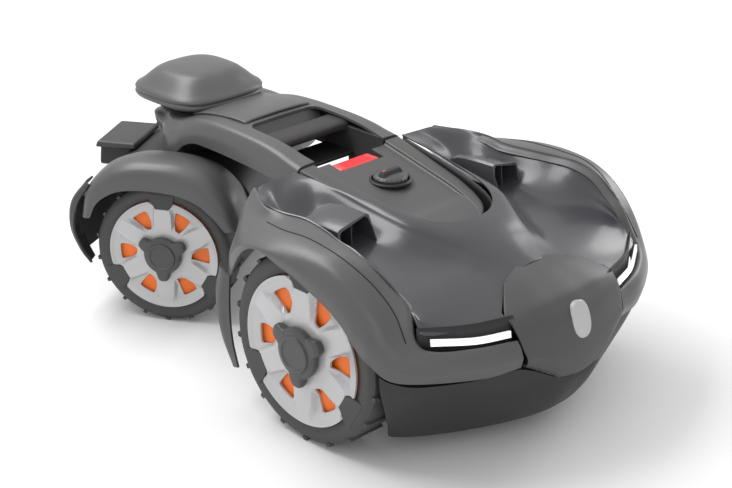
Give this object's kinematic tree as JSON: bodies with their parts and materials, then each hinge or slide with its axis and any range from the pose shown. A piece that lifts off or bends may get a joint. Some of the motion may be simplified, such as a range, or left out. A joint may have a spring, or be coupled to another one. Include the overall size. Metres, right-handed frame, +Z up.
{
  "type": "robotic lawn mower",
  "caption": "Four-wheel-drive robotic lawn mower with a floating front cover, a steered rear body under a carrying boom, and a domed receiver.",
  "frame": {"origin": "on the ground under the middle of the bounding box", "axes": "+Z up, -Y is the direction of travel, +X is the machine's left"},
  "size_m": [0.5526, 0.9858, 0.3574],
  "materials": {
    "gloss_grey": "dark blue-grey gloss",
    "satin_grey": "satin neutral grey",
    "dark_grey": "satin dark grey",
    "black": "satin black",
    "soft_black": "soft-touch black",
    "bumper": "matte near-black",
    "rubber": "matte tyre compound",
    "silver": "silver painted plastic",
    "orange": "satin orange",
    "steel": "machined",
    "dark_metal": "dark anodised",
    "red": "satin red",
    "lamp": "white diffuser",
    "battery": "matte dark"
  },
  "bodies": {
    "root": {"chassis_tub": "black", "console_cover": "satin_grey", "boom_cover": "satin_grey", "boom_frame": "black", "carry_handle": "soft_black", "receiver_base": "dark_grey", "receiver_lid": "satin_grey", "charging_contact_right": "steel", "charging_contact_left": "steel", "wheel_motor_front_right": "dark_metal", "wheel_motor_front_left": "dark_metal"},
    "front_cover": {"top_cover": "gloss_grey", "nose_panel": "satin_grey", "front_bumper": "bumper", "headlight_right": "lamp", "headlight_left": "lamp", "fender_right": "satin_grey", "fender_left": "satin_grey", "ultrasonic_sensor_right": "black", "ultrasonic_sensor_left": "black"},
    "stop_button": {"stop_button": "red"},
    "selector_shaft": {"selector_shaft": "steel"},
    "selector_knob": {"selector_knob": "black"},
    "height_carriage": {"height_carriage": "black", "cutting_motor": "dark_metal"},
    "blade_disc": {"blade_disc": "steel"},
    "blade_1": {"blade_1": "steel"},
    "blade_2": {"blade_2": "steel"},
    "blade_3": {"blade_3": "steel"},
    "skid_plate": {"skid_plate": "black"},
    "steering_yoke": {"steering_yoke": "dark_metal"},
    "rear_body": {"rear_chassis": "black", "rear_cover": "dark_grey", "rear_bumper": "dark_grey", "rear_fender_right": "satin_grey", "rear_fender_left": "satin_grey", "rear_hood": "black", "battery_pack": "battery", "wheel_motor_rear_right": "dark_metal", "wheel_motor_rear_left": "dark_metal"},
    "wheel_front_right": {"tyre_front_right": "rubber", "wheel_trim_front_right": "silver", "wheel_hub_front_right": "orange", "wheel_cap_front_right": "black", "wheel_shaft_front_right": "steel"},
    "wheel_front_left": {"tyre_front_left": "rubber", "wheel_trim_front_left": "silver", "wheel_hub_front_left": "orange", "wheel_cap_front_left": "black", "wheel_shaft_front_left": "steel"},
    "wheel_rear_right": {"tyre_rear_right": "rubber", "wheel_trim_rear_right": "silver", "wheel_hub_rear_right": "orange", "wheel_cap_rear_right": "black", "wheel_shaft_rear_right": "steel"},
    "wheel_rear_left": {"tyre_rear_left": "rubber", "wheel_trim_rear_left": "silver", "wheel_hub_rear_left": "orange", "wheel_cap_rear_left": "black", "wheel_shaft_rear_left": "steel"}
  },
  "joints": [
    {"name": "cover_float", "type": "slide", "parent": "root", "child": "front_cover", "axis": [0, 1, 0], "range_m": [-0.004, 0.004], "stiffness_N_per_m": 6000},
    {"name": "stop_press", "type": "slide", "parent": "root", "child": "stop_button", "axis": [0, 0, -1], "range_m": [0, 0.004], "stiffness_N_per_m": 900, "springref_m": -0.002},
    {"name": "selector_press", "type": "slide", "parent": "root", "child": "selector_shaft", "axis": [0, 0, -1], "range_m": [0, 0.002], "stiffness_N_per_m": 1500, "springref_m": -0.001},
    {"name": "selector_turn", "type": "hinge", "parent": "selector_shaft", "child": "selector_knob", "pos_m": [0, -0.1352, 0.27], "axis": [0, 0, 1], "continuous": true},
    {"name": "cutting_height", "type": "slide", "parent": "root", "child": "height_carriage", "axis": [0, 0, 1], "range_m": [-0.018, 0.018]},
    {"name": "blade_spin", "type": "hinge", "parent": "height_carriage", "child": "blade_disc", "pos_m": [0, -0.2602, 0.052], "axis": [0, 0, 1], "continuous": true},
    {"name": "skid_spin", "type": "hinge", "parent": "height_carriage", "child": "skid_plate", "pos_m": [0, -0.2602, 0.042], "axis": [0, 0, 1], "continuous": true},
    {"name": "blade_1_swing", "type": "hinge", "parent": "blade_disc", "child": "blade_1", "pos_m": [0.074, -0.2602, 0.048], "axis": [0, 0, 1], "range_deg": [-75, 75]},
    {"name": "blade_2_swing", "type": "hinge", "parent": "blade_disc", "child": "blade_2", "pos_m": [-0.037, -0.19611, 0.048], "axis": [0, 0, 1], "range_deg": [-75, 75]},
    {"name": "blade_3_swing", "type": "hinge", "parent": "blade_disc", "child": "blade_3", "pos_m": [-0.037, -0.32429, 0.048], "axis": [0, 0, 1], "range_deg": [-75, 75]},
    {"name": "steering", "type": "hinge", "parent": "root", "child": "steering_yoke", "pos_m": [0, 0.2743, 0.24], "axis": [0, 0, 1], "range_deg": [-80.25, 19.75]},
    {"name": "rear_roll", "type": "hinge", "parent": "steering_yoke", "child": "rear_body", "pos_m": [0, 0.2743, 0.15], "axis": [-0.5038, 0.8638, 0], "range_deg": [-3, 3], "stiffness_Nm_per_rad": 60},
    {"name": "drive_front_right", "type": "hinge", "parent": "root", "child": "wheel_front_right", "pos_m": [-0.26, -0.2302, 0.134], "axis": [1, 0, 0], "continuous": true},
    {"name": "drive_front_left", "type": "hinge", "parent": "root", "child": "wheel_front_left", "pos_m": [0.26, -0.2302, 0.134], "axis": [1, 0, 0], "continuous": true},
    {"name": "drive_rear_right", "type": "hinge", "parent": "rear_body", "child": "wheel_rear_right", "pos_m": [-0.16413, 0.17858, 0.11055], "axis": [0.8638, 0.5038, 0], "continuous": true},
    {"name": "drive_rear_left", "type": "hinge", "parent": "rear_body", "child": "wheel_rear_left", "pos_m": [0.16413, 0.37002, 0.11055], "axis": [0.8638, 0.5038, 0], "continuous": true}
  ]
}
